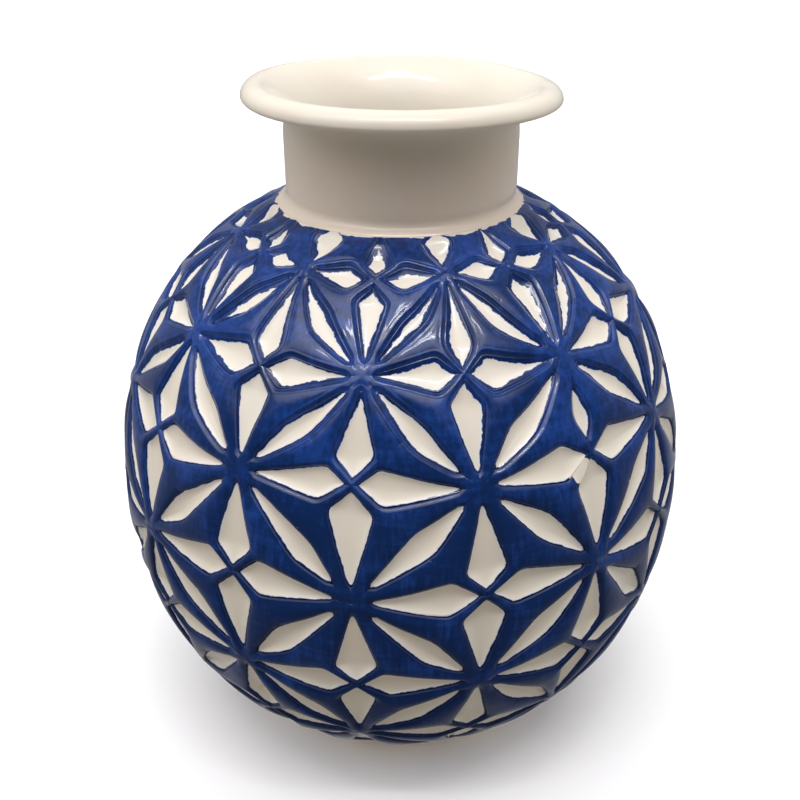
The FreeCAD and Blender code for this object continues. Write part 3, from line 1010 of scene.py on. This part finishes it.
def globe_outline():
    """The clay globe: underside, oval at the carving's depth, seat, and inner oval down to the floor."""
    body, relief = setting("body"), setting("relief")
    latitude = np.radians(np.linspace(-75, 75, 180))
    carved = smooth_step(np.degrees(latitude), -62, -57)
    cut = relief.land_height + (relief.cut_depth - relief.land_height) * carved
    outside = np.stack(oval(latitude, cut), -1)
    rising = (outside[:, 1] > body.foot_height) & ((latitude < 0) | (outside[:, 0] > body.neck_radius))
    outside = outside[rising]
    inside = np.stack(oval(latitude[::-1], body.lining_depth - body.glaze), -1)
    inside = inside[(inside[:, 1] < body.seat - 4.3 * MM) & (inside[:, 1] > body.floor_height)]
    floor = body.floor_height - body.glaze
    throat = body.throat_radius + body.glaze + 0.05 * MM
    mouth = arc((body.throat_radius + THROAT_TURN, body.seat - 3 * MM), 1.2 * MM, 180, 270, 8)
    return np.concatenate(([(0, body.foot_height)], straight((0, body.foot_height), outside[0], 5), outside,
                           [(throat, body.seat - 0.2 * MM)], mouth, inside,
                           [(inside[-1][0] - 1.5 * MM, floor), (0, floor)]))


def inset(outline, distance):
    """An outline moved back by a distance along its normals, away from the side its faces point to."""
    step = np.gradient(outline, axis=0)
    step = step / np.linalg.norm(step, axis=1, keepdims=True)
    return outline - distance * np.stack((step[:, 1], -step[:, 0]), -1)


def glazed(piece):
    """Gives an open surface the glaze's thickness, behind it."""
    shell = piece.modifiers.new("glaze", "SOLIDIFY")
    shell.thickness = setting("body").glaze
    shell.offset = -1.0
    return piece


class VASE_OT_neck(bpy.types.Operator):
    """White glaze on the outside of the neck, round the rolled lip and down the throat"""
    bl_idname = "vase.neck"
    bl_label = "Neck and lip"

    def execute(self, context):
        piece = turned_piece("neck_coat", neck_outline(), GLAZE_AROUND)
        dress(glazed(piece), "neck_glaze", "neck_white", "neck_glaze")
        return {"FINISHED"}


class VASE_OT_lining(bpy.types.Operator):
    """White glaze over the inside of the body, from the foot of the throat to the floor"""
    bl_idname = "vase.lining"
    bl_label = "Lining"

    def execute(self, context):
        piece = turned_piece("lining_coat", lining_outline(), GLAZE_AROUND)
        dress(glazed(piece), "lining_glaze", "lining_white", "lining_glaze")
        return {"FINISHED"}


class VASE_OT_clay(bpy.types.Operator):
    """Fired clay: the CAD's foot, a globe cut down under the petals, and an uneven neck and lip"""
    bl_idname = "vase.clay"
    bl_label = "Clay"

    def execute(self, context):
        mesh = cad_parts["foot_ring"].data
        mesh.materials.clear()
        mesh.materials.append(material("fired_clay"))
        body = setting("body")
        flare = body.lip_top - body.throat_depth
        coat = inset(neck_outline(), body.glaze + CLEARANCE)
        height = np.linspace(body.seat, flare, 14)
        outer = np.full_like(height, body.neck_radius - body.glaze - CLEARANCE)
        inner = np.full_like(height, body.throat_radius + body.glaze + CLEARANCE)
        neck = np.concatenate((np.stack((outer, height), -1), np.stack((inner, height[::-1]), -1)))
        parts = (("globe_clay", globe_outline(), GLOBE_AROUND, "globe_wall"),
                 ("lip_clay", coat[coat[:, 1] > flare], CLAY_AROUND, "rolled_lip"),
                 ("neck_clay", neck, CLAY_AROUND, "neck_collar"))
        for name, outline, around, node in parts:
            dress(turned_piece(name, outline, around, closed=True), "fired_clay", "bare_clay", node)
        return {"FINISHED"}


def area_light(name, place, aim, size, watts, colour=WHITE):
    """A rectangular soft light at a place, turned towards a point."""
    light = bpy.data.lights.new(name, "AREA")
    light.shape = "RECTANGLE"
    light.size, light.size_y = size
    light.energy = watts
    light.color = colour
    lamp = bpy.data.objects.new(name, light)
    lamp.location = place
    away = np.array(aim, float) - np.array(place, float)
    tilt = math.atan2(math.hypot(away[0], away[1]), -away[2])
    lamp.rotation_euler = (tilt, 0.0, math.atan2(-away[0], away[1]))
    bpy.context.scene.collection.objects.link(lamp)
    return lamp


def wall_round_the_room(radius):
    """A white wall far round the vase: circles of one radius at rising heights. It lights nothing."""
    around, bottom, top = 64, -0.5, 9.0
    turn = np.linspace(0, 2 * math.pi, around + 1)[None, :-1]
    height = np.array(((bottom,), (top,)))
    points = np.stack(np.broadcast_arrays(-radius * np.sin(turn), radius * np.cos(turn), height), -1)
    first = np.arange(around)
    after = (first + 1) % around
    quads = np.stack((first, after, after + around, first + around), -1)
    wall = make_piece("wall", points.reshape(-1, 3), (quads,), {})
    wall.data.materials.append(Shader("wall_plaster").finish(
        (0.0, 0.0, 0.0, 1.0), 1.0, Emission_Color=(*WHITE, 1.0), Emission_Strength=0.93))
    for ray in ("visible_glossy", "visible_diffuse", "visible_shadow", "visible_transmission"):
        setattr(wall, ray, False)
    return wall


def room_world(stage):
    """Light from the room by direction: a broad soft patch over and in front of the vase, dim elsewhere.

    The patch is the product of two soft-edged bands. One is about the angle from straight up towards the
    front, the other about how far sideways the direction leans. The room behind the vase is paler than the
    front.
    """
    world = bpy.data.worlds.new("room")
    world.use_nodes = True
    room = Nodes(world.node_tree)
    direction = room.node("ShaderNodeTexCoord", {}, {})[0]
    x, y, z = room.node("ShaderNodeSeparateXYZ", {}, {0: direction})
    forward = (y * -1).math("ARCTAN2", z)
    band = 1 - (forward - stage.patch_lean).math("ABSOLUTE").step(0.12, 0.72)
    middle = 1 - (x + 0.1).math("ABSOLUTE").step(0.35, 0.9)
    dim = y.step(-0.7, 0.9) * 0.3 + 0.05
    background = world.node_tree.nodes["Background"]
    background.inputs[0].default_value = (0.985, 0.965, 0.99, 1.0)
    world.node_tree.links.new((band * middle * stage.patch + dim).socket, background.inputs[1])
    return world


class VASE_OT_stage(bpy.types.Operator):
    """Camera, pale floor and soft light"""
    bl_idname = "vase.stage"
    bl_label = "Stage"

    def execute(self, context):
        stage = setting("stage")
        scene = context.scene
        camera = bpy.data.cameras.new("camera")
        camera.lens = stage.lens
        camera.sensor_width = 36.0
        camera.clip_start = 0.01
        eye = bpy.data.objects.new("camera", camera)
        eye.location = stage.camera_place
        eye.rotation_euler = (stage.camera_tilt, 0.0, 0.0)
        scene.collection.objects.link(eye)
        scene.camera = eye
        half = 3.0
        points = np.array(((-half, -half, 0), (half, -half, 0), (half, half, 0), (-half, half, 0)), float)
        floor = make_piece("floor", points, (np.array(((0, 1, 2, 3),)),), {})
        paper = Shader("floor_paper")
        fine = paper.noise(30.0, 2.0) * 0.04 + 0.96
        floor.data.materials.append(paper.finish(paper.mix(fine, (0.8, 0.8, 0.8), tuple(stage.floor)), 0.9))
        floor.visible_glossy = False
        floor.visible_diffuse = False
        wall_round_the_room(radius=7.0)
        area_light("strip", place=(0.0, -1.0, 2.9), aim=(0.0, -1.0, 0.0), size=(2.4, 0.1), watts=22.0)
        area_light("panel", place=(0.15, -0.7, 2.9), aim=(0.15, -0.7, 0.0), size=(0.5, 0.2), watts=5.0)
        fills = [area_light("behind", place=(0.0, 2.0, 2.4), aim=(0.0, 1.2, 0.0), size=(4.0, 1.5),
                            watts=50.0, colour=(0.98, 0.99, 1.0)),
                 area_light("bounce", place=(0.0, 0.0, 0.002), aim=(0.0, 0.0, 1.0), size=(2.0, 2.0),
                            watts=stage.bounce, colour=(1.0, 0.92, 0.80))]
        for side in (-1, 1):
            fills.append(area_light("side", place=(1.2 * side, 0.3, 0.5), aim=(0.0, 0.0, 0.08),
                                    size=(1.0, 1.0), watts=4.6, colour=(0.98, 0.98, 0.97)))
        for fill in fills:
            fill.visible_glossy = False
            fill.visible_camera = False
        scene.world = room_world(stage)
        scene.view_settings.view_transform = "Standard"
        return {"FINISHED"}


class VASE_PT_sidebar(bpy.types.Panel):
    """Lists the vase's pieces and settings"""
    bl_idname = "VASE_PT_sidebar"
    bl_label = "Glazed vase"
    bl_space_type = "VIEW_3D"
    bl_region_type = "UI"
    bl_category = "Vase"

    def draw(self, context):
        for operator in OPERATORS:
            self.layout.operator(operator.bl_idname)
        for group, kind in SETTINGS.items():
            column = self.layout.column(heading=kind.__doc__)
            for key in kind.__annotations__:
                column.prop(getattr(context.scene, group), key)


OPERATORS = (VASE_OT_stage, VASE_OT_clay, VASE_OT_lands, VASE_OT_petals, VASE_OT_neck, VASE_OT_lining)
CLASSES = tuple(SETTINGS.values()) + OPERATORS + (VASE_PT_sidebar,)


def register():
    for kind in CLASSES:
        bpy.utils.register_class(kind)
    for group, kind in SETTINGS.items():
        setattr(bpy.types.Scene, group, bpy.props.PointerProperty(type=kind))


def unregister():
    for group in SETTINGS:
        delattr(bpy.types.Scene, group)
    for kind in reversed(CLASSES):
        bpy.utils.unregister_class(kind)


def main():
    register()
    for operator in OPERATORS:
        getattr(bpy.ops.vase, operator.bl_idname.split(".")[1])()


if __name__ == "__main__":
    main()
